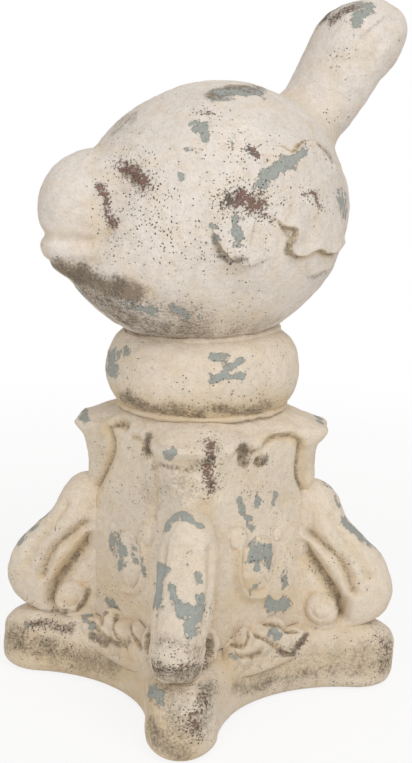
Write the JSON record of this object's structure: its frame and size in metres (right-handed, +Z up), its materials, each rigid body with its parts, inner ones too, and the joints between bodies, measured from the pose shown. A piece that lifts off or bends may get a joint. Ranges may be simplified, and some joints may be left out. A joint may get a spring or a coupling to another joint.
{
  "type": "bird figurine",
  "caption": "Round-bodied bird garden ornament with a raised tail, bedded on a cushion ring, a four-sided acanthus-leaf pedestal and a four-lobed plinth.",
  "frame": {"origin": "centre of the plinth's underside, which is the bottom centre of the bounding box", "axes": "+Z up; the plinth's lobes and the pedestal's corners lie on X and Y; the bird faces -X, turned 28.2 degrees towards -Y"},
  "size_m": [0.3064, 0.3064, 0.5143],
  "materials": {
    "bird_paint": "matte distressed cream paint over a cast body",
    "pedestal_paint": "matte distressed cream paint over a cast body",
    "ornament_paint": "matte distressed cream paint with blue-grey underpaint",
    "mortar": "rough yellowish bedding mortar"
  },
  "bodies": {
    "root": {"bird_body": "bird_paint", "wing_left": "bird_paint", "wing_right": "bird_paint", "mortar_bed_upper": "mortar", "neck_ring": "bird_paint", "mortar_bed_lower": "mortar", "pedestal_core": "pedestal_paint", "plinth": "pedestal_paint", "corner_leaf_right": "ornament_paint", "corner_leaf_back": "ornament_paint", "corner_leaf_left": "ornament_paint", "corner_leaf_front": "ornament_paint", "face_cartouche_back_right": "ornament_paint", "face_cartouche_back_left": "ornament_paint", "face_cartouche_front_left": "ornament_paint", "face_cartouche_front_right": "ornament_paint", "plinth_fleuron_back_right": "ornament_paint", "plinth_fleuron_back_left": "ornament_paint", "plinth_fleuron_front_left": "ornament_paint", "plinth_fleuron_front_right": "ornament_paint"}
  },
  "joints": []
}
